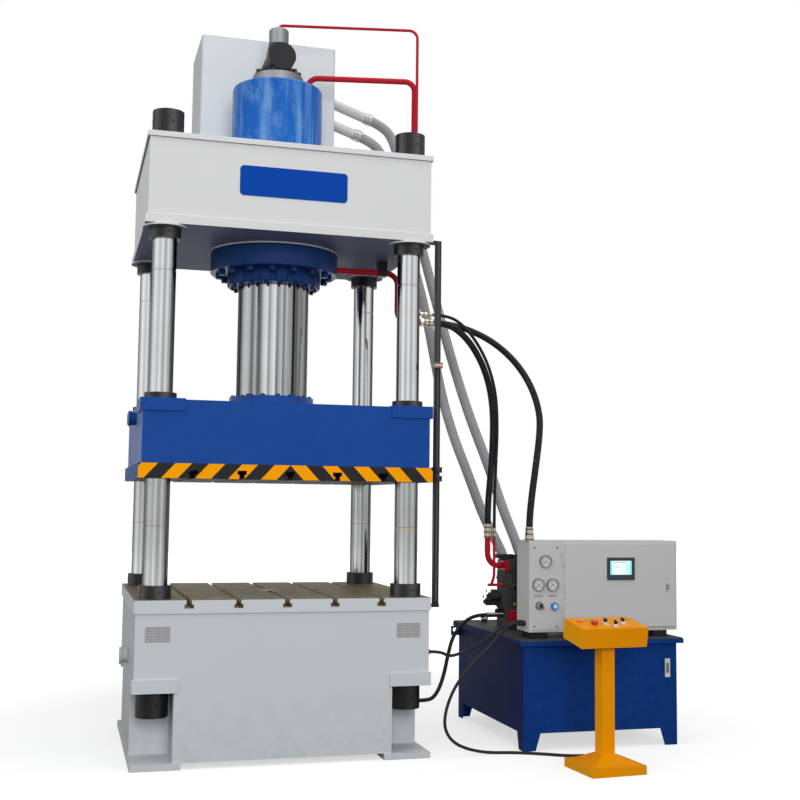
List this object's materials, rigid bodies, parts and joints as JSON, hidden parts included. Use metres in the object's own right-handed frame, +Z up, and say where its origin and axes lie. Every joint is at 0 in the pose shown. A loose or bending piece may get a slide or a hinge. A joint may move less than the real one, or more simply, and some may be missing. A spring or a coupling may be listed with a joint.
{
  "type": "hydraulic press",
  "caption": "Four-column hydraulic press with a sliding crosshead, fill tank, power unit, electrical cabinet and operator console joined by hoses.",
  "frame": {"origin": "centre of the four foundation holes, on the floor under the press centre", "axes": "+Z up, front of the press towards -Y, power unit and console towards +X"},
  "size_m": [3.712, 2.4928, 4.955],
  "materials": {
    "white_paint": "satin",
    "machined_steel": "satin",
    "chromed_steel": "polished",
    "black_steel": "satin",
    "blue_paint": "gloss",
    "dark_blue_paint": "gloss",
    "bolt_steel": "satin",
    "ground_steel": "satin",
    "cast_valve": "satin",
    "black_pipe": "satin",
    "grey_paint": "satin",
    "red_paint": "gloss",
    "black_fitting": "matt",
    "yellow_metal": "satin",
    "black_rail": "satin",
    "plate_paint": "satin",
    "inner_steel": "satin",
    "tank_blue": "gloss",
    "lid_grey": "satin",
    "gauge_plastic": "gloss",
    "dark_block": "satin",
    "coil_plastic": "matt",
    "motor_paint": "satin",
    "cabinet_grey": "satin",
    "latch_black": "satin",
    "screen_case": "satin",
    "zinc_plate": "satin",
    "gauge_steel": "polished",
    "needle_black": "matt",
    "knob_metal": "satin",
    "knob_plastic": "satin",
    "orange_paint": "gloss",
    "stop_red": "gloss",
    "button_yellow": "gloss",
    "selector_black": "satin",
    "grey_hose": "matt",
    "black_rubber": "matt"
  },
  "bodies": {
    "press": {"bed_cable": "black_rubber", "bed_frame": "white_paint", "bed_table": "machined_steel", "blank_plates": "plate_paint", "cabinet_shell": "cabinet_grey", "cable_glands": "black_fitting", "column_nuts": "black_steel", "columns": "chromed_steel", "console_cable": "black_rubber", "console_stand": "orange_paint", "crown_frame": "white_paint", "cylinder_body": "blue_paint", "cylinder_bolts": "bolt_steel", "ejector_cylinder": "inner_steel", "ejector_hose": "black_rubber", "fill_pipe": "black_pipe", "fill_tank": "grey_paint", "gauge_panel": "cabinet_grey", "gauges": "gauge_steel", "gland_cover": "dark_blue_paint", "hose_fittings": "yellow_metal", "level_gauge": "gauge_plastic", "limit_rail": "black_rail", "manifold_block": "dark_block", "manifold_pipes": "red_paint", "motor_pump": "motor_paint", "mounting_plate": "zinc_plate", "oil_tank": "tank_blue", "pilot_hose": "black_rubber", "pipe_clamps": "black_fitting", "prefill_body": "cast_valve", "pullback_hose": "black_rubber", "ram_hose": "black_rubber", "red_pipes": "red_paint", "return_hose_lower": "grey_hose", "return_hose_upper": "grey_hose", "return_pipes": "grey_paint", "solenoid_valves": "coil_plastic", "tank_lid": "lid_grey"},
    "crosshead": {"crosshead_frame": "blue_paint", "platen": "machined_steel", "guide_bushes": "black_steel", "ram": "chromed_steel", "piston": "ground_steel", "ram_bolts": "bolt_steel"},
    "ejector": {"ejector_rod": "ground_steel"},
    "poppet": {"prefill_poppet": "ground_steel"},
    "door": {"cabinet_door": "cabinet_grey", "touch_screen": "screen_case"},
    "latch": {"door_latch": "latch_black"},
    "top_needle": {"needle_top": "needle_black"},
    "left_needle": {"needle_left": "needle_black"},
    "right_needle": {"needle_right": "needle_black"},
    "silver_knob": {"knob_silver": "knob_metal"},
    "blue_knob": {"knob_blue": "knob_plastic"},
    "stop": {"emergency_stop": "stop_red"},
    "start": {"start_button": "button_yellow"},
    "select_left": {"selector_left": "selector_black"},
    "select_middle": {"selector_middle": "selector_black"},
    "select_right": {"selector_right": "selector_black"}
  },
  "joints": [
    {"name": "crosshead_slide", "type": "slide", "parent": "press", "child": "crosshead", "axis": [0, 0, 1], "range_m": [-0.5, 0.55]},
    {"name": "ejector_slide", "type": "slide", "parent": "press", "child": "ejector", "axis": [0, 0, 1], "range_m": [0, 0.2]},
    {"name": "poppet_slide", "type": "slide", "parent": "press", "child": "poppet", "axis": [0, 0, -1], "range_m": [0, 0.024], "stiffness_N_per_m": 4000},
    {"name": "door_hinge", "type": "hinge", "parent": "press", "child": "door", "pos_m": [1.869, -0.688, 1.06], "axis": [0, 0, -1], "range_deg": [0, 55]},
    {"name": "latch_turn", "type": "hinge", "parent": "door", "child": "latch", "pos_m": [2.635, -0.69, 1.047], "axis": [0, 1, 0], "range_deg": [-90, 0]},
    {"name": "top_gauge_needle", "type": "hinge", "parent": "press", "child": "top_needle", "pos_m": [1.741, -0.694, 1.223], "axis": [0, 1, 0], "range_deg": [0, 270], "stiffness_Nm_per_rad": 0.002},
    {"name": "left_gauge_needle", "type": "hinge", "parent": "press", "child": "left_needle", "pos_m": [1.691, -0.694, 1.069], "axis": [0, 1, 0], "range_deg": [0, 270], "stiffness_Nm_per_rad": 0.002},
    {"name": "right_gauge_needle", "type": "hinge", "parent": "press", "child": "right_needle", "pos_m": [1.791, -0.694, 1.068], "axis": [0, 1, 0], "range_deg": [0, 270], "stiffness_Nm_per_rad": 0.002},
    {"name": "silver_knob_turn", "type": "hinge", "parent": "press", "child": "silver_knob", "pos_m": [1.698, -0.7, 0.932], "axis": [0, 1, 0], "range_deg": [-150, 150]},
    {"name": "blue_knob_turn", "type": "hinge", "parent": "press", "child": "blue_knob", "pos_m": [1.803, -0.7, 0.927], "axis": [0, 1, 0], "range_deg": [-150, 150]},
    {"name": "stop_press", "type": "slide", "parent": "press", "child": "stop", "axis": [-0.0133, 0.1766, -0.9842], "range_m": [0, 0.006], "stiffness_N_per_m": 1500},
    {"name": "start_press", "type": "slide", "parent": "press", "child": "start", "axis": [-0.0133, 0.1766, -0.9842], "range_m": [0, 0.004], "stiffness_N_per_m": 800},
    {"name": "select_left_turn", "type": "hinge", "parent": "press", "child": "select_left", "pos_m": [1.85147, -1.35283, 0.87946], "axis": [0.0133, -0.1766, 0.9842], "range_deg": [-45, 45]},
    {"name": "select_middle_turn", "type": "hinge", "parent": "press", "child": "select_middle", "pos_m": [1.89704, -1.39875, 0.8706], "axis": [0.0133, -0.1766, 0.9842], "range_deg": [-45, 45]},
    {"name": "select_right_turn", "type": "hinge", "parent": "press", "child": "select_right", "pos_m": [1.97098, -1.34187, 0.87981], "axis": [0.0133, -0.1766, 0.9842], "range_deg": [-45, 45]}
  ]
}
